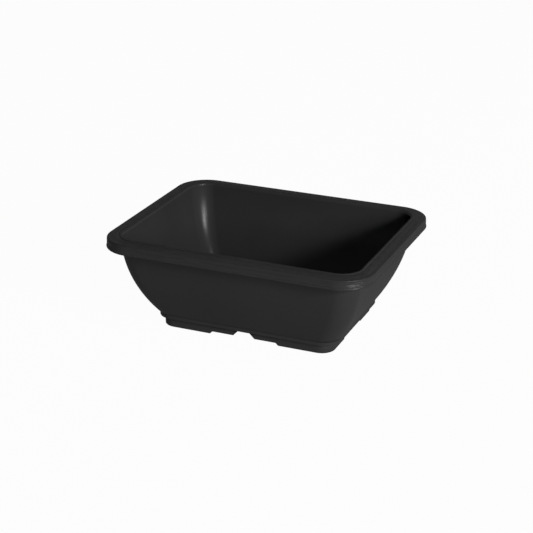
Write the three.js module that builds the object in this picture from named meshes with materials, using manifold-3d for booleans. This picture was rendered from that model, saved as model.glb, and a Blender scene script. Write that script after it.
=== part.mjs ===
// A rectangular flower pot in black plastic: a bowl-shaped tub with a wide rim and a notched foot.
// Millimetres, +Z up. The origin is on the ground, under the middle of the pot.
// The length runs along X and the width along Y.
import * as THREE from 'three';
import { mergeVertices } from 'three/addons/utils/BufferGeometryUtils.js';
import Module from 'manifold-3d';

const wasm = await Module();
wasm.setup();

// Overall size, taken over the rim
const rimLength = 254;
const rimWidth = 202;
const potHeight = 91.2;
const rimCornerRadius = 30.6;

// How much of an inset the radius of a corner loses: at 1, all the lines round a corner would be concentric
const cornerInsetShare = 0.85;

// Rim: a flange that falls a little outwards, a low bead round the opening and a skirt turned down
const rimDepth = 10.4;
const flangeThickness = 2.6;
const flangeFall = 0.7;
const flangeEdgeRadius = 1.2;
const openingBeadRise = 0.6;
const openingBeadWidth = 3.6;
const openingEdgeRadius = 2.4;
const skirtThickness = 2.4;
const skirtDraft = 0.2;
const skirtBeadHeight = 1.8;
const skirtBeadProud = 0.4;

// Wall: insets are taken from the widest line of the rim to the outside of the wall
const wallThickness = 2.8;
const wallTopInset = 12.2;
const wallFootInset = 38.6;
const wallBulge = 5.8;
const wallFootCornerRadius = 16.6;

// Floor, and the fillet that joins it to the wall inside
const floorThickness = 3.5;
const floorFilletRadius = 24;
const floorCornerRadius = 12;
const drainHoleDiameter = 22;
const drainHoleSpacing = 76;

// Foot: a thin rail under the wall, set in by a ledge
const footHeight = 8.5;
const longSideLedge = 2.7;
const shortSideLedge = 4.9;
const footThickness = 3.2;
const footDraft = 0.3;
const footCornerRadius = 13.5;

// The rail is lifted off the ground between its corners, and split by a notch on each long side
const longLift = 2.4;
const longLiftLength = 62;
const shortLift = 2.4;
const shortLiftLength = 40;
const liftRamp = 2.6;
const notchTopWidth = 9.2;
const notchRamp = 5.8;

// How far a cutting shape runs past what it cuts
const cutOverrun = 1;

// Facets. A corner takes an even number, because two walls meet in its middle.
const cornerSteps = 10;
const edgeSteps = 4;
const crownSteps = 3;
const beadSteps = 4;
const wallSteps = 14;
const filletSteps = 7;
const holeSteps = 32;

const quarterTurn = Math.PI / 2;

// Levels, from the ground up
const floorTop = footHeight + floorThickness;
const skirtBottom = potHeight - rimDepth;
const flangeTop = potHeight - openingBeadRise;
const flangeUnderside = flangeTop - flangeThickness;

// A profile lies in a plane square to the rim: x is the inset and y is the height.
// The outside of the wall is one arc from under the flange to the top of the ledge.
const wallTop = new THREE.Vector2(wallTopInset, flangeUnderside);
const wallFoot = new THREE.Vector2(wallFootInset, floorTop);
const wallChord = wallFoot.clone().sub(wallTop);
const wallRadius = wallChord.lengthSq() / (8 * wallBulge) + wallBulge / 2;
const towardsInside = new THREE.Vector2(-wallChord.y, wallChord.x).normalize();
const wallCentre = wallTop.clone().lerp(wallFoot, 0.5).addScaledVector(towardsInside, wallRadius - wallBulge);
const innerRadius = wallRadius - wallThickness;

// The floor fillet touches the inside of the wall and the top of the floor.
const filletCentreHeight = floorTop + floorFilletRadius;
const filletDrop = wallCentre.y - filletCentreHeight;
const filletReach = Math.sqrt((innerRadius - floorFilletRadius) ** 2 - filletDrop ** 2);
const filletCentre = new THREE.Vector2(wallCentre.x - filletReach, filletCentreHeight);
const filletTopAngle = Math.atan2(filletDrop, filletReach);

function insetOnArc(radius, height) {
  return wallCentre.x - Math.sqrt(radius ** 2 - (wallCentre.y - height) ** 2);
}

function arcAngle(radius, height) {
  return Math.PI + Math.asin((wallCentre.y - height) / radius);
}

function profilePoint(inset, height, cornerRadius) {
  return { inset, height, cornerRadius };
}

function rimCornerAt(inset) {
  return rimCornerRadius - cornerInsetShare * inset;
}

function rimPoint(inset, height) {
  return profilePoint(inset, height, rimCornerAt(inset));
}

// Points on a circle in the profile plane; angle 0 points inwards, and a quarter turn points up.
function arcPoints(centre, radius, startAngle, endAngle, steps) {
  const points = [];
  for (let step = 0; step <= steps; step += 1) {
    const angle = THREE.MathUtils.lerp(startAngle, endAngle, step / steps);
    points.push(new THREE.Vector2(centre.x + radius * Math.cos(angle), centre.y + radius * Math.sin(angle)));
  }
  return points;
}

// The corner radius of the outside of the wall runs evenly from the flange down to the ledge.
function wallCornerRadius(height) {
  const share = (height - floorTop) / (flangeUnderside - floorTop);
  return THREE.MathUtils.lerp(wallFootCornerRadius, rimCornerAt(wallTopInset), share);
}

function innerCornerRadius(inset, height) {
  return wallCornerRadius(height) - cornerInsetShare * (inset - insetOnArc(wallRadius, height));
}

// One level outline: a rounded rectangle, seen from above, listed anticlockwise.
// The short sides may have an inset of their own.
function outlineAt({ inset, endInset = inset, cornerRadius }) {
  const centreX = rimLength / 2 - endInset - cornerRadius;
  const centreY = rimWidth / 2 - inset - cornerRadius;
  const corners = [[centreX, centreY], [-centreX, centreY], [-centreX, -centreY], [centreX, -centreY]];
  return corners.flatMap(([x, y], corner) => {
    const startAngle = corner * quarterTurn;
    return arcPoints(new THREE.Vector2(x, y), cornerRadius, startAngle, startAngle + quarterTurn, cornerSteps);
  });
}

// Stands each level outline at the height of its profile point and skins one to the next.
function skinGeometry(profile, outlines, closed) {
  const count = outlines[0].length;
  const positions = outlines.flatMap((outline, row) => (
    outline.flatMap((p) => [p.x, p.y, profile[row].height])
  ));
  const indices = [];
  for (let row = 0; row < profile.length; row += 1) {
    const upper = row * count;
    const lower = ((row + 1) % profile.length) * count;
    for (let i = 0; i < (closed ? count : count - 1); i += 1) {
      const next = (i + 1) % count;
      indices.push(upper + i, lower + i, lower + next, upper + i, lower + next, upper + next);
    }
  }
  const geometry = new THREE.BufferGeometry();
  geometry.setAttribute('position', new THREE.Float32BufferAttribute(positions, 3));
  geometry.setIndex(indices);
  return geometry;
}

// The closed profile carried all the way round the pot. It is listed with its outer side going down.
function ringGeometry(profile) {
  return skinGeometry(profile, profile.map(outlineAt), true);
}

// The closed profile carried along one side, from the middle of a corner to the middle of the next.
// All corner middles on one corner lie in an upright plane, so the two ends are flat.
function sideGeometry(profile, firstCorner) {
  const cornerCount = cornerSteps + 1;
  const first = firstCorner * cornerCount + cornerSteps / 2;
  const outlines = profile.map((point) => {
    const outline = outlineAt(point);
    return [...outline, ...outline].slice(first, first + cornerCount + 1);
  });
  const geometry = skinGeometry(profile, outlines, false);
  const contour = profile.map((point) => new THREE.Vector2(point.inset, point.height));
  const triangles = THREE.ShapeUtils.triangulateShape(contour, []);
  const startCap = triangles.flatMap(([a, b, c]) => [c, b, a].map((row) => row * (cornerCount + 1)));
  const endCap = triangles.flatMap((rows) => rows.map((row) => row * (cornerCount + 1) + cornerCount));
  geometry.setIndex([...geometry.index.array, ...startCap, ...endCap]);
  return geometry;
}

function toSolid(geometry) {
  const bare = geometry.clone();
  bare.deleteAttribute('normal');
  bare.deleteAttribute('uv');
  const merged = mergeVertices(bare);
  return new wasm.Manifold(new wasm.Mesh({
    numProp: merged.attributes.position.itemSize,
    vertProperties: merged.attributes.position.array,
    triVerts: new Uint32Array(merged.index.array),
  }));
}

function toGeometry(solid) {
  const mesh = solid.getMesh();
  const geometry = new THREE.BufferGeometry();
  geometry.setAttribute('position', new THREE.Float32BufferAttribute(mesh.vertProperties, mesh.numProp));
  geometry.setIndex([...mesh.triVerts]);
  return geometry;
}

function faceInsetAt(height) {
  return skirtBeadProud + skirtDraft * (height - skirtBottom) / (flangeTop - skirtBottom);
}

function rimFlange() {
  const crestLevel = potHeight - openingEdgeRadius;
  const crestCentre = new THREE.Vector2(insetOnArc(innerRadius + openingEdgeRadius, crestLevel), crestLevel);
  const openingLean = wallCentre.clone().sub(crestCentre).angle();
  const openingEdge = arcPoints(crestCentre, openingEdgeRadius, openingLean, quarterTurn, edgeSteps);
  const beadStart = crestCentre.x + openingEdgeRadius - openingBeadWidth;
  const flankCurve = new THREE.EllipseCurve(
    crestCentre.x, flangeTop, crestCentre.x - beadStart, openingBeadRise, quarterTurn, 2 * quarterTurn,
  );
  // The crown is an arc that leaves the bead level and runs smoothly into the rounded outer edge.
  const edgeLevel = flangeTop - flangeFall - flangeEdgeRadius;
  const edgeCentre = new THREE.Vector2(faceInsetAt(edgeLevel) + flangeEdgeRadius, edgeLevel);
  const crownSpan = beadStart - edgeCentre.x;
  const centreSpacing = (crownSpan ** 2 + flangeFall ** 2) / (2 * flangeFall);
  const crownRadius = flangeEdgeRadius + centreSpacing;
  const crownEnd = quarterTurn + Math.asin(crownSpan / centreSpacing);
  const crownCentre = new THREE.Vector2(beadStart, flangeTop - crownRadius);
  const crown = arcPoints(crownCentre, crownRadius, quarterTurn, crownEnd, crownSteps);
  const outerEdge = arcPoints(edgeCentre, flangeEdgeRadius, crownEnd, 2 * quarterTurn, edgeSteps);
  const profile = [
    new THREE.Vector2(insetOnArc(innerRadius, flangeUnderside), flangeUnderside),
    ...openingEdge,
    ...flankCurve.getPoints(beadSteps).slice(1),
    ...crown.slice(1, -1),
    ...outerEdge,
    new THREE.Vector2(faceInsetAt(flangeUnderside), flangeUnderside),
  ];
  return ringGeometry(profile.map((p) => rimPoint(p.x, p.y)));
}

function rimSkirt() {
  const beadTop = skirtBottom + skirtBeadHeight;
  const halfHeight = skirtBeadHeight / 2;
  const beadRadius = (halfHeight ** 2 + skirtBeadProud ** 2) / (2 * skirtBeadProud);
  const beadHalfAngle = Math.asin(halfHeight / beadRadius);
  const beadCentre = new THREE.Vector2(beadRadius, skirtBottom + halfHeight);
  const bead = arcPoints(beadCentre, beadRadius, Math.PI - beadHalfAngle, Math.PI + beadHalfAngle, beadSteps);
  const profile = [
    new THREE.Vector2(faceInsetAt(flangeUnderside) + skirtThickness, flangeUnderside),
    new THREE.Vector2(faceInsetAt(flangeUnderside), flangeUnderside),
    new THREE.Vector2(faceInsetAt(beadTop), beadTop),
    ...bead.slice(1),
    new THREE.Vector2(skirtBeadProud + skirtThickness, skirtBottom),
  ];
  return ringGeometry(profile.map((p) => rimPoint(p.x, p.y)));
}

// One wall with its ledge and its part of the floor fillet; the floor panel closes its inner edge.
function bowlWall(firstCorner) {
  const outsideTop = arcAngle(wallRadius, flangeUnderside);
  const outside = arcPoints(wallCentre, wallRadius, outsideTop, arcAngle(wallRadius, floorTop), wallSteps)
    .map((p) => profilePoint(p.x, p.y, wallCornerRadius(p.y)));
  const ledge = profilePoint(wallFootInset, footHeight, wallFootCornerRadius);
  const underFloor = profilePoint(filletCentre.x, footHeight, floorCornerRadius);
  const filletTop = Math.PI + filletTopAngle;
  const insideTop = arcAngle(innerRadius, flangeUnderside);
  const inside = arcPoints(wallCentre, innerRadius, filletTop, insideTop, wallSteps)
    .map((p) => profilePoint(p.x, p.y, innerCornerRadius(p.x, p.y)));
  const filletStart = inside[0];
  const fillet = arcPoints(filletCentre, floorFilletRadius, 3 * quarterTurn, filletTop, filletSteps)
    .map((p) => {
      const share = (filletCentre.x - p.x) / (filletCentre.x - filletStart.inset);
      return profilePoint(p.x, p.y, THREE.MathUtils.lerp(floorCornerRadius, filletStart.cornerRadius, share));
    });
  const profile = [...outside, ledge, underFloor, ...fillet.slice(0, -1), ...inside];
  return sideGeometry(profile, firstCorner);
}

function floorPanel() {
  const panel = new THREE.Shape(outlineAt(profilePoint(filletCentre.x, floorTop, floorCornerRadius)));
  for (const side of [-1, 1]) {
    const hole = new THREE.Path();
    hole.absarc(side * drainHoleSpacing / 2, 0, drainHoleDiameter / 2, 0, 2 * Math.PI, true);
    panel.holes.push(new THREE.Path(hole.getPoints(holeSteps).slice(0, -1)));
  }
  const geometry = new THREE.ExtrudeGeometry(panel, { depth: floorThickness, bevelEnabled: false });
  return geometry.translate(0, 0, footHeight);
}

// What is cut from the rail on the two long sides, drawn in the X-Z plane from the ground up
function longSideCutter() {
  const liftHalf = longLiftLength / 2;
  const notchTopHalf = notchTopWidth / 2;
  const notchFootHalf = notchTopHalf + notchRamp;
  const rightHalf = [
    [liftHalf + liftRamp, -cutOverrun],
    [liftHalf + liftRamp, 0],
    [liftHalf, longLift],
    [notchFootHalf, longLift],
    [notchTopHalf, footHeight],
    [notchTopHalf, footHeight + cutOverrun],
  ];
  return cutterGeometry(rightHalf, rimWidth).rotateX(quarterTurn).translate(0, rimWidth / 2, 0);
}

// What is cut from the rail on the two short sides, drawn in the Y-Z plane
function shortSideCutter() {
  const liftHalf = shortLiftLength / 2;
  const rightHalf = [
    [liftHalf + liftRamp, -cutOverrun],
    [liftHalf + liftRamp, 0],
    [liftHalf, shortLift],
  ];
  const geometry = cutterGeometry(rightHalf, rimLength).rotateX(quarterTurn).rotateZ(quarterTurn);
  return geometry.translate(-rimLength / 2, 0, 0);
}

// A prism on an outline whose left half mirrors its right half
function cutterGeometry(rightHalf, depth) {
  const leftHalf = rightHalf.map(([across, up]) => [-across, up]).reverse();
  const outline = [...rightHalf, ...leftHalf].map(([across, up]) => new THREE.Vector2(across, up));
  return new THREE.ExtrudeGeometry(new THREE.Shape(outline), { depth, bevelEnabled: false });
}

function footRing() {
  return ringGeometry([
    [footThickness, footHeight],
    [0, footHeight],
    [footDraft, 0],
    [footThickness - footDraft, 0],
  ].map(([depth, height]) => ({
    inset: wallFootInset + longSideLedge + depth,
    endInset: wallFootInset + shortSideLedge + depth,
    height,
    cornerRadius: footCornerRadius - depth,
  })));
}

// The half of the notched ring that lies on one side of the middle: -1 is left and 1 is right
function footRail(side) {
  const half = new THREE.BoxGeometry(rimLength, rimWidth, potHeight).translate(side * rimLength / 2, 0, 0);
  const rail = toSolid(footRing())
    .intersect(toSolid(half))
    .subtract(toSolid(longSideCutter()))
    .subtract(toSolid(shortSideCutter()));
  return toGeometry(rail);
}

function plasticMesh(name, geometry) {
  const material = new THREE.MeshStandardMaterial({ color: 0x2b2b2c, roughness: 0.45, metalness: 0 });
  const mesh = new THREE.Mesh(geometry, material);
  mesh.name = name;
  return mesh;
}

const group = new THREE.Group();
group.add(
  plasticMesh('rim_flange', rimFlange()),
  plasticMesh('rim_skirt', rimSkirt()),
  plasticMesh('wall_back', bowlWall(0)),
  plasticMesh('wall_left', bowlWall(1)),
  plasticMesh('wall_front', bowlWall(2)),
  plasticMesh('wall_right', bowlWall(3)),
  plasticMesh('floor_panel', floorPanel()),
  plasticMesh('foot_rail_left', footRail(-1)),
  plasticMesh('foot_rail_right', footRail(1)),
);

export default group;
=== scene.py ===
"""A rectangular flower pot in satin black plastic, on a plain pale floor in soft studio light."""
import math

import bmesh
import bpy
from mathutils import Matrix, Vector


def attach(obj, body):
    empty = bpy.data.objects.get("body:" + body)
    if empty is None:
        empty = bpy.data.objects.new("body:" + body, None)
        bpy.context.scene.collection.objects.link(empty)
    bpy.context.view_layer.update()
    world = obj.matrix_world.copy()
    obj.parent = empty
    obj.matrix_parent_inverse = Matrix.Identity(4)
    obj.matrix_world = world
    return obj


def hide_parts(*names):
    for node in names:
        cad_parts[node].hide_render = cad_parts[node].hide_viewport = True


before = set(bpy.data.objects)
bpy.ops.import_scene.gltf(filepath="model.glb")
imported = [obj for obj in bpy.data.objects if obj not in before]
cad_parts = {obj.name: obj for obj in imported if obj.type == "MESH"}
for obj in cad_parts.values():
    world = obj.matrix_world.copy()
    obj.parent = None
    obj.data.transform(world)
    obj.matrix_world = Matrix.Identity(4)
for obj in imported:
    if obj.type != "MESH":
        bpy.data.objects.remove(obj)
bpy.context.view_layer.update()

# Sizes of the pot are in millimetres. An inset is taken from the rim's widest line, a height from the ground.
MM = 0.001
QUARTER = math.pi / 2

RIM_LENGTH = 254.0
RIM_WIDTH = 202.0
POT_HEIGHT = 91.2
RIM_CORNER = 30.6

# How much of an inset the radius of a corner loses
CORNER_INSET_SHARE = 0.85

# Rim
RIM_DEPTH = 10.4
FLANGE_THICKNESS = 2.6
FLANGE_FALL = 0.7
FLANGE_EDGE = 1.2
BEAD_RISE = 0.6
BEAD_WIDTH = 3.6
OPENING_EDGE = 2.4
SKIRT_THICKNESS = 2.4
SKIRT_DRAFT = 0.2
SKIRT_BEAD_HEIGHT = 1.8
SKIRT_BEAD_PROUD = 0.4

# Wall
WALL_THICKNESS = 2.8
WALL_TOP_INSET = 12.2
WALL_FOOT_INSET = 38.6
WALL_BULGE = 5.8
WALL_FOOT_CORNER = 16.6

# Floor
FLOOR_THICKNESS = 3.5
FLOOR_FILLET = 24.0
FLOOR_CORNER = 12.0
HOLE_RADIUS = 11.0
HOLE_SPACING = 76.0

# Foot
FOOT_HEIGHT = 8.5
LONG_LEDGE = 2.7
SHORT_LEDGE = 4.9
FOOT_THICKNESS = 3.2
FOOT_DRAFT = 0.3
FOOT_CORNER = 13.5
LONG_LIFT = 2.4
LONG_LIFT_HALF = 31.0
SHORT_LIFT = 2.4
SHORT_LIFT_HALF = 20.0
LIFT_RAMP = 2.6
NOTCH_TOP_HALF = 4.6
NOTCH_RAMP = 5.8

# Small radii that the mould leaves on edges and in corners
CREASE_RADIUS = 0.35
SKIRT_EDGE = 0.4
ROOT_RADIUS = 1.2
LEDGE_RADIUS = 0.5
HOLE_EDGE = 0.4
FOOT_EDGE = 0.5
RAMP_RADIUS = 0.8
FOOT_SUNK = 0.3

# Facets
CORNER_STEPS = 28
WALL_STEPS = 56
FILLET_STEPS = 28
EDGE_STEPS = 8
SMALL_STEPS = 4
HOLE_STEPS = 72

# Heights that follow from the sizes
FLOOR_TOP = FOOT_HEIGHT + FLOOR_THICKNESS
SKIRT_BOTTOM = POT_HEIGHT - RIM_DEPTH
FLANGE_TOP = POT_HEIGHT - BEAD_RISE
FLANGE_UNDER = FLANGE_TOP - FLANGE_THICKNESS

# Nodes that the shell replaces
SHELL_NODES = ("rim_flange", "rim_skirt", "wall_front", "wall_back", "wall_left", "wall_right", "floor_panel")

# Shading at a corner: 50 is neutral, and above it the larger faces count for more
SHADING_WEIGHT = 60

# In the values for the looks and the scene, lengths are in metres, colours are linear, and a noise's scale
# is per metre.
WHITE = (1, 1, 1, 1)

# The middle of a noise's range, where nearly all its values lie
NOISE_LOW = 0.3
NOISE_HIGH = 0.7
NOISE_ROUGHNESS = 0.5

# Places of the colour sockets in a Mix node
MIX_FIRST_COLOUR = 6
MIX_SECOND_COLOUR = 7
MIX_COLOUR_RESULT = 2

# Black plastic
PLASTIC_DARK = (0.0205, 0.0205, 0.021, 1)
PLASTIC_PALE = (0.024, 0.024, 0.0243, 1)
CLOUD_SCALE = 14.0
CLOUD_DETAIL = 3.0
ROUGHNESS_LOW = 0.25
ROUGHNESS_HIGH = 0.285
GRAIN_SCALE = 1100.0
GRAIN_DETAIL = 2.0
GRAIN_ROUGHNESS = 0.01
GRAIN_BUMP = 0.18
GRAIN_DEPTH = 0.00006
COAT_WEIGHT = 0.08
COAT_ROUGHNESS = 0.268
COAT_IOR = 2.0

# Flow lines: close together in the third direction and long in the others, and faint on the walls
FLOW_STRETCH = (6.0, 6.0, 300.0)
FLOW_DETAIL = 4.0
FLOW_ROUGHNESS = 0.6
FLOW_BUMP = 0.8
FLOW_DEPTH = 0.0005
FLOW_FADE = 0.001
FLOW_ON_WALLS = 0.02

# Floor
FLOOR_RADIUS = 12.0
FLOOR_SEGMENTS = 96
FLOOR_COLOUR = (0.3, 0.3, 0.3, 1)
FLOOR_GRAIN_SCALE = 30.0
FLOOR_GRAIN_DETAIL = 2.0
FLOOR_ROUGHNESS_LOW = 0.45
FLOOR_ROUGHNESS_HIGH = 0.55
FLOOR_WHITE_SHARE = 0.97

# World. The white and the glow fade out between two heights, each the Z of a direction. To the sides the
# glow fades between two values of the part of a direction that points level away behind the pot.
DIM_COLOUR = (0.9, 0.95, 1, 1)
DIM_STRENGTH = 0.02
WHITE_FADE = (0.2, 0.24)
GLOW_STRENGTH = 0.62
GLOW_FADE = (0.5, 0.66)
GLOW_SIDES = (0.26, 0.55)

# Lamps: name, azimuth and elevation in degrees, distance, (width, height), power in watts
LAMPS = (
    ("key", 62.5, 23.5, 2.0, (0.7, 0.25), 31.0),
    ("key_spread", 53.0, 14.0, 2.0, (1.0, 0.4), 23.0),
    ("top", 62.0, 58.0, 2.5, (0.12, 0.12), 11.0),
    ("fill", -120.0, 74.0, 2.5, (1.0, 1.0), 2.0),
)
LAMP_AIM = Vector((0, 0, 0.05))

# The camera that fits the photograph's outline: pixels of a 533 pixel square frame, pixel centres whole
IMAGE_SIZE = 533
FOCAL_PIXELS = 1458.5
AIM = Vector((0, 0, 0.042))
AIM_PIXEL = (268.64, 273.51)
AIM_DISTANCE = 1.3529
VIEW_AZIMUTH = 22.342
VIEW_ELEVATION = 22.142
VIEW_ROLL = 0.528
SENSOR = 36.0
CLIP_START = 0.05
CLIP_END = 60


def wall_circle():
    """The arc that the outside of the wall follows in the profile plane."""
    top = Vector((WALL_TOP_INSET, FLANGE_UNDER))
    foot = Vector((WALL_FOOT_INSET, FLOOR_TOP))
    chord = foot - top
    radius = chord.length_squared / (8 * WALL_BULGE) + WALL_BULGE / 2
    inward = Vector((-chord.y, chord.x)).normalized()
    return (top + foot) / 2 + inward * (radius - WALL_BULGE), radius


WALL_CENTRE, WALL_RADIUS = wall_circle()
INNER_RADIUS = WALL_RADIUS - WALL_THICKNESS
FILLET_DROP = WALL_CENTRE.y - FLOOR_TOP - FLOOR_FILLET
FILLET_REACH = math.sqrt((INNER_RADIUS - FLOOR_FILLET) ** 2 - FILLET_DROP ** 2)
FILLET_CENTRE = Vector((WALL_CENTRE.x - FILLET_REACH, FLOOR_TOP + FLOOR_FILLET))
FILLET_ANGLE = math.pi + math.atan2(FILLET_DROP, FILLET_REACH)
FILLET_START = WALL_CENTRE + INNER_RADIUS * Vector((math.cos(FILLET_ANGLE), math.sin(FILLET_ANGLE)))


def inset_on_arc(radius, height):
    return WALL_CENTRE.x - math.sqrt(radius ** 2 - (WALL_CENTRE.y - height) ** 2)


def angle_on_arc(radius, height):
    return math.pi + math.asin((WALL_CENTRE.y - height) / radius)


def face_inset(height):
    return SKIRT_BEAD_PROUD + SKIRT_DRAFT * (height - SKIRT_BOTTOM) / (FLANGE_TOP - SKIRT_BOTTOM)


def mix(low, high, share):
    return low + (high - low) * share


def rim_corner(inset, height):
    """Corner radius in plan at a point of the rim, the same at every height."""
    return RIM_CORNER - CORNER_INSET_SHARE * inset


def wall_corner(inset, height):
    """Corner radius at a point of the wall; the outside runs evenly from the flange down to the ledge."""
    height = min(max(height, FLOOR_TOP), FLANGE_UNDER)
    share = (height - FLOOR_TOP) / (FLANGE_UNDER - FLOOR_TOP)
    outside = mix(WALL_FOOT_CORNER, rim_corner(WALL_TOP_INSET, FLANGE_UNDER), share)
    return outside - CORNER_INSET_SHARE * (inset - inset_on_arc(WALL_RADIUS, height))


def fillet_corner(inset, height):
    share = (FILLET_CENTRE.x - inset) / (FILLET_CENTRE.x - FILLET_START.x)
    return mix(FLOOR_CORNER, wall_corner(*FILLET_START), share)


def underside_corner(inset, height):
    share = (FILLET_CENTRE.x - inset) / (FILLET_CENTRE.x - WALL_FOOT_INSET)
    return mix(FLOOR_CORNER, WALL_FOOT_CORNER, share)


def arc(centre, radius, start, end, steps):
    """Points on a circle in the profile plane: angle 0 points inwards and a quarter turn points up."""
    angles = (mix(start, end, step / steps) for step in range(steps + 1))
    return [centre + radius * Vector((math.cos(a), math.sin(a))) for a in angles]


def fillet(before, vertex, after, radius):
    """The arc that rounds a vertex, and how far it reaches along each side."""
    arriving = (vertex - before).normalized()
    leaving = (after - vertex).normalized()
    turn = math.atan2(arriving.cross(leaving), arriving.dot(leaving))
    reach = radius * math.tan(abs(turn) / 2)
    start = vertex - arriving * reach
    centre = start + Vector((-arriving.y, arriving.x)) * math.copysign(radius, turn)
    spoke = start - centre
    turned = [Matrix.Rotation(turn * step / SMALL_STEPS, 2) @ spoke for step in range(SMALL_STEPS + 1)]
    return [centre + t for t in turned], reach


def rounded(items):
    """Rounds an open line of (point, radius, tag) items. Points that an arc swallows are dropped."""
    points = [Vector(item[0]) for item in items]
    arcs = {
        i: fillet(points[i - 1], points[i], points[i + 1], radius)
        for i, (_, radius, _) in enumerate(items) if radius
    }
    made = []
    for i, (_, _, tag) in enumerate(items):
        if i in arcs:
            made += [(p, tag) for p in arcs[i][0]]
        elif all((points[i] - points[j]).length > reach for j, (_, reach) in arcs.items()):
            made.append((points[i], tag))
    return made


def plain(points, tag):
    """Items of rounded() for points that stay as they are."""
    return [(p, 0.0, tag) for p in points]


def shell_profile():
    """The section from the floor's edge up the inside, over the rim and down the outside to the underside."""
    inner_top = angle_on_arc(INNER_RADIUS, FLANGE_UNDER)
    crest_level = POT_HEIGHT - OPENING_EDGE
    crest = Vector((inset_on_arc(INNER_RADIUS + OPENING_EDGE, crest_level), crest_level))
    lean = math.atan2(WALL_CENTRE.y - crest.y, WALL_CENTRE.x - crest.x)
    flank_width = BEAD_WIDTH - OPENING_EDGE
    flank = [
        Vector((crest.x - flank_width * math.sin(a), FLANGE_TOP + BEAD_RISE * math.cos(a)))
        for a in (QUARTER * step / EDGE_STEPS for step in range(1, EDGE_STEPS))
    ]
    bead_start = Vector((crest.x - flank_width, FLANGE_TOP))
    edge_level = FLANGE_TOP - FLANGE_FALL - FLANGE_EDGE
    edge = Vector((face_inset(edge_level) + FLANGE_EDGE, edge_level))
    crown_span = bead_start.x - edge.x
    centre_spacing = (crown_span ** 2 + FLANGE_FALL ** 2) / (2 * FLANGE_FALL)
    crown_radius = FLANGE_EDGE + centre_spacing
    crown_end = QUARTER + math.asin(crown_span / centre_spacing)
    crown = Vector((bead_start.x, FLANGE_TOP - crown_radius))
    half_bead = SKIRT_BEAD_HEIGHT / 2
    bead_radius = (half_bead ** 2 + SKIRT_BEAD_PROUD ** 2) / (2 * SKIRT_BEAD_PROUD)
    bead_angle = math.asin(half_bead / bead_radius)
    bead = Vector((bead_radius, SKIRT_BOTTOM + half_bead))
    skirt_bead = arc(bead, bead_radius, math.pi - bead_angle, math.pi + bead_angle, EDGE_STEPS)
    skirt_inside = face_inset(FLANGE_UNDER) + SKIRT_THICKNESS
    wall_top = angle_on_arc(WALL_RADIUS, FLANGE_UNDER)
    wall_foot = angle_on_arc(WALL_RADIUS, FLOOR_TOP)
    return rounded([
        *plain(arc(FILLET_CENTRE, FLOOR_FILLET, 3 * QUARTER, FILLET_ANGLE, FILLET_STEPS), fillet_corner),
        *plain(arc(WALL_CENTRE, INNER_RADIUS, FILLET_ANGLE, inner_top, WALL_STEPS)[1:], wall_corner),
        *plain(arc(crest, OPENING_EDGE, lean, QUARTER, EDGE_STEPS), rim_corner),
        *plain(flank, rim_corner),
        (bead_start, CREASE_RADIUS, rim_corner),
        *plain(arc(crown, crown_radius, QUARTER, crown_end, EDGE_STEPS)[1:-1], rim_corner),
        *plain(arc(edge, FLANGE_EDGE, crown_end, 2 * QUARTER, EDGE_STEPS), rim_corner),
        *plain(skirt_bead[:-1], rim_corner),
        (Vector((SKIRT_BEAD_PROUD, SKIRT_BOTTOM)), SKIRT_EDGE, rim_corner),
        (Vector((SKIRT_BEAD_PROUD + SKIRT_THICKNESS, SKIRT_BOTTOM)), SKIRT_EDGE, rim_corner),
        (Vector((skirt_inside, FLANGE_UNDER)), ROOT_RADIUS, rim_corner),
        (Vector((WALL_TOP_INSET, FLANGE_UNDER)), ROOT_RADIUS, wall_corner),
        *plain(arc(WALL_CENTRE, WALL_RADIUS, wall_top, wall_foot, WALL_STEPS)[1:-1], wall_corner),
        (Vector((WALL_FOOT_INSET, FLOOR_TOP)), LEDGE_RADIUS, wall_corner),
        (Vector((WALL_FOOT_INSET, FOOT_HEIGHT)), LEDGE_RADIUS, underside_corner),
        *plain([Vector((FILLET_CENTRE.x, FOOT_HEIGHT))], underside_corner),
    ])


def ring(bm, inset, height, corner):
    """One level outline of the pot, as vertices listed anticlockwise from above."""
    x = RIM_LENGTH / 2 - inset - corner
    y = RIM_WIDTH / 2 - inset - corner
    made = []
    for quarter, (cx, cy) in enumerate(((x, y), (-x, y), (-x, -y), (x, -y))):
        for step in range(CORNER_STEPS + 1):
            angle = (quarter + step / CORNER_STEPS) * QUARTER
            point = (cx + corner * math.cos(angle), cy + corner * math.sin(angle), height)
            made.append(bm.verts.new(Vector(point) * MM))
    return made


def circle(bm, centre, radius, height):
    made = []
    for step in range(HOLE_STEPS):
        angle = 4 * QUARTER * step / HOLE_STEPS
        point = (centre + radius * math.cos(angle), radius * math.sin(angle), height)
        made.append(bm.verts.new(Vector(point) * MM))
    return made


def skin(bm, rows):
    """Joins each closed row of vertices to the next with quads."""
    count = len(rows[0])
    for row, following in zip(rows, rows[1:]):
        for i in range(count):
            j = (i + 1) % count
            bm.faces.new((row[i], row[j], following[j], following[i]))


def fill_flat(bm, loops, normal):
    """Fills the level area between closed loops of vertices with triangles."""
    edges = [bm.edges.get((a, b)) for loop in loops for a, b in zip(loop, loop[1:] + loop[:1])]
    bmesh.ops.triangle_fill(bm, edges=edges, use_beauty=True, normal=normal)


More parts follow.
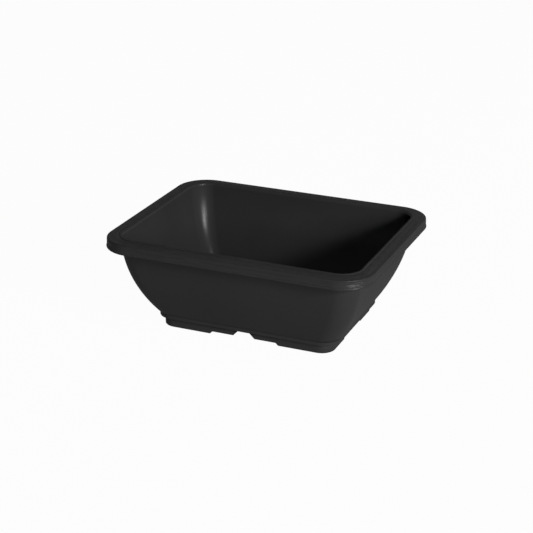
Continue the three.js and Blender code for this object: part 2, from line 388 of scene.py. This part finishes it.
def build_shell():
    """The moulding above the foot rails, with its two drain holes."""
    bm = bmesh.new()
    rows = [ring(bm, p.x, p.y, corner(p.x, p.y)) for p, corner in shell_profile()]
    skin(bm, rows)
    holes = []
    for side in (-1, 1):
        upper = Vector((HOLE_RADIUS + HOLE_EDGE, FLOOR_TOP - HOLE_EDGE))
        lower = Vector((HOLE_RADIUS + HOLE_EDGE, FOOT_HEIGHT + HOLE_EDGE))
        section = [
            *arc(upper, HOLE_EDGE, QUARTER, 2 * QUARTER, SMALL_STEPS),
            *arc(lower, HOLE_EDGE, 2 * QUARTER, 3 * QUARTER, SMALL_STEPS),
        ]
        hole = [circle(bm, side * HOLE_SPACING / 2, p.x, p.y) for p in section]
        skin(bm, hole)
        holes.append(hole)
    fill_flat(bm, [rows[0], *(hole[0] for hole in holes)], Vector((0, 0, 1)))
    fill_flat(bm, [rows[-1], *(hole[-1] for hole in holes)], Vector((0, 0, -1)))
    return bm


def lift_line(items):
    """The height of the rail's lower edge along one side, as (place, height) points."""
    return [point for point, _ in rounded([(Vector(place), radius, None) for place, radius in items])]


def rail_stations():
    """The right-hand rail from notch to notch: (point on its outer face, outward direction, lower edge)."""
    half_x = RIM_LENGTH / 2 - WALL_FOOT_INSET - SHORT_LEDGE
    half_y = RIM_WIDTH / 2 - WALL_FOOT_INSET - LONG_LEDGE
    straight_x = half_x - FOOT_CORNER
    straight_y = half_y - FOOT_CORNER
    long_side = lift_line([
        ((NOTCH_TOP_HALF, FOOT_HEIGHT), 0),
        ((NOTCH_TOP_HALF + NOTCH_RAMP, LONG_LIFT), RAMP_RADIUS),
        ((LONG_LIFT_HALF, LONG_LIFT), RAMP_RADIUS),
        ((LONG_LIFT_HALF + LIFT_RAMP, 0), RAMP_RADIUS),
        ((straight_x, 0), 0),
    ])
    short_half = lift_line([
        ((0, SHORT_LIFT), 0),
        ((SHORT_LIFT_HALF, SHORT_LIFT), RAMP_RADIUS),
        ((SHORT_LIFT_HALF + LIFT_RAMP, 0), RAMP_RADIUS),
        ((straight_y, 0), 0),
    ])
    stations = [(Vector((p.x, -half_y)), Vector((0, -1)), p.y) for p in long_side]
    for step in range(1, CORNER_STEPS):
        out = Vector((math.sin(QUARTER * step / CORNER_STEPS), -math.cos(QUARTER * step / CORNER_STEPS)))
        stations.append((Vector((straight_x, -straight_y)) + out * FOOT_CORNER, out, 0))
    stations += [(Vector((half_x, -p.x)), Vector((1, 0)), p.y) for p in reversed(short_half)]
    mirrored = [(Vector((p.x, -p.y)), Vector((out.x, -out.y)), height) for p, out, height in stations[:-1]]
    return stations + mirrored[::-1]


def rail_section(low):
    """(depth from the outer face, height) round the rail where its lower edge is at that height."""
    top = FOOT_HEIGHT + FOOT_SUNK
    draft = FOOT_DRAFT * (FOOT_HEIGHT - low) / FOOT_HEIGHT
    # Small enough for both edges to fit at the notches, where little of the rail is left
    edge = min(FOOT_EDGE, (top - low) / 3)
    line = rounded([
        (Vector((0, top)), 0, None),
        (Vector((draft, low)), edge, None),
        (Vector((FOOT_THICKNESS - draft, low)), edge, None),
        (Vector((FOOT_THICKNESS, top)), 0, None),
    ])
    return [point for point, _ in line]


def build_rail(side):
    """The foot rail of one side of the pot, from notch to notch, with its ends closed."""
    bm = bmesh.new()
    rows = []
    for point, out, low in rail_stations():
        row = []
        for depth, height in rail_section(low):
            x, y = point - out * depth
            row.append(bm.verts.new(Vector((side * x, y, height)) * MM))
        rows.append(row)
    skin(bm, rows)
    bm.faces.new(rows[0])
    bm.faces.new(rows[-1])
    return bm


def mesh_object(name, bm, material):
    mesh = bpy.data.meshes.new(name)
    bm.to_mesh(mesh)
    bm.free()
    mesh.materials.append(material)
    made = bpy.data.objects.new(name, mesh)
    bpy.context.scene.collection.objects.link(made)
    return made


def make_piece(name, bm, replaced, material):
    """A smooth piece of the pot that stands for the nodes it replaces."""
    bmesh.ops.recalc_face_normals(bm, faces=bm.faces)
    piece = mesh_object(name, bm, material)
    piece.data.shade_smooth()
    shading = piece.modifiers.new("even_shading", "WEIGHTED_NORMAL")
    shading.weight = SHADING_WEIGHT
    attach(piece, "root")
    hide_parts(*replaced)


def emptied_tree(owner):
    """The node tree of a material or a world, without any node."""
    owner.use_nodes = True
    owner.node_tree.nodes.clear()
    return owner.node_tree


def add_node(tree, kind, inputs=None, **settings):
    """A shader node with its settings; an input is a value or another node's output socket."""
    node = tree.nodes.new(kind)
    for key, value in settings.items():
        setattr(node, key, value)
    for key, value in (inputs or {}).items():
        if isinstance(value, bpy.types.NodeSocket):
            tree.links.new(value, node.inputs[key])
        else:
            node.inputs[key].default_value = value
    return node


def math_node(tree, operation, *values):
    return add_node(tree, "ShaderNodeMath", dict(enumerate(values)), operation=operation).outputs[0]


def noise(tree, vector, scale, detail, roughness=NOISE_ROUGHNESS):
    inputs = {"Vector": vector, "Scale": scale, "Detail": detail, "Roughness": roughness}
    return add_node(tree, "ShaderNodeTexNoise", inputs).outputs["Fac"]


def mapped(tree, value, low, high, from_low=NOISE_LOW, from_high=NOISE_HIGH):
    """The value taken from one range to another, and held at its ends."""
    inputs = {"Value": value, "From Min": from_low, "From Max": from_high, "To Min": low, "To Max": high}
    return add_node(tree, "ShaderNodeMapRange", inputs).outputs["Result"]


def flow_lines(tree, place):
    """Noise in fine lines that run level round the pot, and 1 on the rim against 0 on the walls."""
    parts = add_node(tree, "ShaderNodeSeparateXYZ", {"Vector": place}).outputs
    beyond = []
    for axis, size in (("X", RIM_LENGTH), ("Y", RIM_WIDTH)):
        distance = math_node(tree, "ABSOLUTE", parts[axis])
        past_straight = math_node(tree, "SUBTRACT", distance, (size / 2 - RIM_CORNER) * MM)
        beyond.append(math_node(tree, "MAXIMUM", past_straight, 0.0))
    plan = add_node(tree, "ShaderNodeCombineXYZ", dict(enumerate(beyond))).outputs["Vector"]
    outwards = add_node(tree, "ShaderNodeVectorMath", {0: plan}, operation="LENGTH").outputs["Value"]
    across = math_node(tree, "ADD", outwards, parts["Z"])
    level = add_node(tree, "ShaderNodeCombineXYZ", {0: parts["X"], 1: parts["Y"], 2: across})
    inputs = {"Vector": level.outputs["Vector"], "Scale": FLOW_STRETCH}
    stretched = add_node(tree, "ShaderNodeMapping", inputs)
    flow = noise(tree, stretched.outputs["Vector"], 1.0, FLOW_DETAIL, FLOW_ROUGHNESS)
    skirt_foot = SKIRT_BOTTOM * MM
    high = mapped(tree, parts["Z"], 0.0, 1.0, skirt_foot - FLOW_FADE, skirt_foot)
    opening = (RIM_CORNER - WALL_TOP_INSET) * MM
    outside = mapped(tree, outwards, 0.0, 1.0, opening - 2 * FLOW_FADE, opening - FLOW_FADE)
    return flow, math_node(tree, "MULTIPLY", high, outside)


def black_plastic():
    """Satin plastic with cloudy colour and roughness, a fine grain, flow lines and a glossy coat."""
    material = bpy.data.materials.new("black_plastic_look")
    tree = emptied_tree(material)
    place = add_node(tree, "ShaderNodeTexCoord").outputs["Object"]
    clouds = noise(tree, place, CLOUD_SCALE, CLOUD_DETAIL)
    grain = noise(tree, place, GRAIN_SCALE, GRAIN_DETAIL)
    flow, on_rim = flow_lines(tree, place)
    colour = add_node(tree, "ShaderNodeMix", {
        "Factor": mapped(tree, clouds, 0.0, 1.0),
        MIX_FIRST_COLOUR: PLASTIC_DARK,
        MIX_SECOND_COLOUR: PLASTIC_PALE,
    }, data_type="RGBA")
    cloudy = mapped(tree, clouds, ROUGHNESS_LOW, ROUGHNESS_HIGH)
    grainy = mapped(tree, grain, -GRAIN_ROUGHNESS, GRAIN_ROUGHNESS)
    fine = add_node(tree, "ShaderNodeBump", {
        "Strength": GRAIN_BUMP,
        "Distance": GRAIN_DEPTH,
        "Height": grain,
    })
    share = mapped(tree, on_rim, FLOW_ON_WALLS, 1.0, 0.0, 1.0)
    lines = add_node(tree, "ShaderNodeBump", {
        "Strength": FLOW_BUMP,
        "Distance": FLOW_DEPTH,
        "Height": math_node(tree, "MULTIPLY", mapped(tree, flow, -1.0, 1.0), share),
        "Normal": fine.outputs["Normal"],
    })
    shader = add_node(tree, "ShaderNodeBsdfPrincipled", {
        "Base Color": colour.outputs[MIX_COLOUR_RESULT],
        "Roughness": math_node(tree, "ADD", cloudy, grainy),
        "Normal": lines.outputs["Normal"],
        "Specular IOR Level": 0.0,
        "Coat Weight": COAT_WEIGHT,
        "Coat Roughness": COAT_ROUGHNESS,
        "Coat IOR": COAT_IOR,
        "Coat Normal": lines.outputs["Normal"],
    })
    add_node(tree, "ShaderNodeOutputMaterial", {"Surface": shader.outputs["BSDF"]})
    return material


def seen_by_eye(tree, share):
    """That share for camera, glossy and transmission rays, and 0 for the rays that carry light."""
    path = add_node(tree, "ShaderNodeLightPath").outputs
    seen = path["Is Camera Ray"]
    for other in ("Is Glossy Ray", "Is Transmission Ray"):
        seen = math_node(tree, "MAXIMUM", seen, path[other])
    return math_node(tree, "MULTIPLY", seen, share)


def floor_look():
    """Pale floor: white to the eye and in reflections, with part of the real shading kept for the shadow."""
    material = bpy.data.materials.new("pale_floor_look")
    tree = emptied_tree(material)
    place = add_node(tree, "ShaderNodeTexCoord").outputs["Object"]
    grain = noise(tree, place, FLOOR_GRAIN_SCALE, FLOOR_GRAIN_DETAIL)
    matte = add_node(tree, "ShaderNodeBsdfDiffuse", {
        "Color": FLOOR_COLOUR,
        "Roughness": mapped(tree, grain, FLOOR_ROUGHNESS_LOW, FLOOR_ROUGHNESS_HIGH),
    })
    white = add_node(tree, "ShaderNodeEmission", {"Color": WHITE, "Strength": 1.0})
    both = add_node(tree, "ShaderNodeMixShader", {
        0: seen_by_eye(tree, FLOOR_WHITE_SHARE),
        1: matte.outputs["BSDF"],
        2: white.outputs["Emission"],
    })
    add_node(tree, "ShaderNodeOutputMaterial", {"Surface": both.outputs["Shader"]})
    return material


def make_floor():
    bm = bmesh.new()
    bmesh.ops.create_circle(bm, cap_ends=True, segments=FLOOR_SEGMENTS, radius=FLOOR_RADIUS)
    mesh_object("floor", bm, floor_look())


def direction_to(azimuth, elevation):
    """Azimuth 0 looks along +Y and 90 along -X, so this points back from the pot to the eye or lamp."""
    a = math.radians(azimuth)
    e = math.radians(elevation)
    return Vector((math.sin(a) * math.cos(e), -math.cos(a) * math.cos(e), math.sin(e)))


def make_world():
    """Dim all-round light. Eye and reflections see white low down, and a glow higher up behind the pot."""
    world = bpy.data.worlds.new("studio")
    bpy.context.scene.world = world
    tree = emptied_tree(world)
    direction = add_node(tree, "ShaderNodeTexCoord").outputs["Generated"]
    height = add_node(tree, "ShaderNodeSeparateXYZ", {"Vector": direction}).outputs["Z"]
    behind = -direction_to(VIEW_AZIMUTH, 0)
    away = add_node(tree, "ShaderNodeVectorMath", {0: direction, 1: behind}, operation="DOT_PRODUCT")
    low = mapped(tree, height, 1.0, 0.0, *WHITE_FADE)
    glow = mapped(tree, height, GLOW_STRENGTH, 0.0, *GLOW_FADE)
    high = math_node(tree, "MULTIPLY", glow, mapped(tree, away.outputs["Value"], 0.0, 1.0, *GLOW_SIDES))
    share = math_node(tree, "MULTIPLY", math_node(tree, "MAXIMUM", low, high), seen_by_eye(tree, 1.0))
    dim = add_node(tree, "ShaderNodeBackground", {"Color": DIM_COLOUR, "Strength": DIM_STRENGTH})
    white = add_node(tree, "ShaderNodeBackground", {"Color": WHITE, "Strength": 1.0})
    both = add_node(tree, "ShaderNodeMixShader", {0: share, 1: dim.outputs[0], 2: white.outputs[0]})
    add_node(tree, "ShaderNodeOutputWorld", {"Surface": both.outputs["Shader"]})


def make_lamp(name, azimuth, elevation, distance, size, power):
    lamp = bpy.data.lights.new(name, "AREA")
    lamp.shape = "RECTANGLE"
    lamp.size, lamp.size_y = size
    lamp.energy = power
    back = direction_to(azimuth, elevation)
    holder = bpy.data.objects.new(name, lamp)
    holder.rotation_euler = (-back).to_track_quat("-Z", "Y").to_euler()
    holder.location = LAMP_AIM + back * distance
    bpy.context.scene.collection.objects.link(holder)


def make_camera():
    data = bpy.data.cameras.new("view")
    data.sensor_width = SENSOR
    data.lens = FOCAL_PIXELS * SENSOR / IMAGE_SIZE
    middle = (IMAGE_SIZE - 1) / 2
    data.shift_x = (middle - AIM_PIXEL[0]) / IMAGE_SIZE
    data.shift_y = (AIM_PIXEL[1] - middle) / IMAGE_SIZE
    data.clip_start = CLIP_START
    data.clip_end = CLIP_END
    camera = bpy.data.objects.new("view", data)
    back = direction_to(VIEW_AZIMUTH, VIEW_ELEVATION)
    level = (-back).to_track_quat("-Z", "Y").to_matrix()
    camera.rotation_euler = (level @ Matrix.Rotation(math.radians(VIEW_ROLL), 3, "Z")).to_euler()
    camera.location = AIM + back * AIM_DISTANCE
    bpy.context.scene.collection.objects.link(camera)
    bpy.context.scene.camera = camera


plastic = black_plastic()
make_piece("moulded_shell", build_shell(), SHELL_NODES, plastic)
make_piece("foot_left", build_rail(-1), ("foot_rail_left",), plastic)
make_piece("foot_right", build_rail(1), ("foot_rail_right",), plastic)

make_floor()
make_world()
for lamp in LAMPS:
    make_lamp(*lamp)
make_camera()
bpy.context.scene.view_settings.view_transform = "Standard"
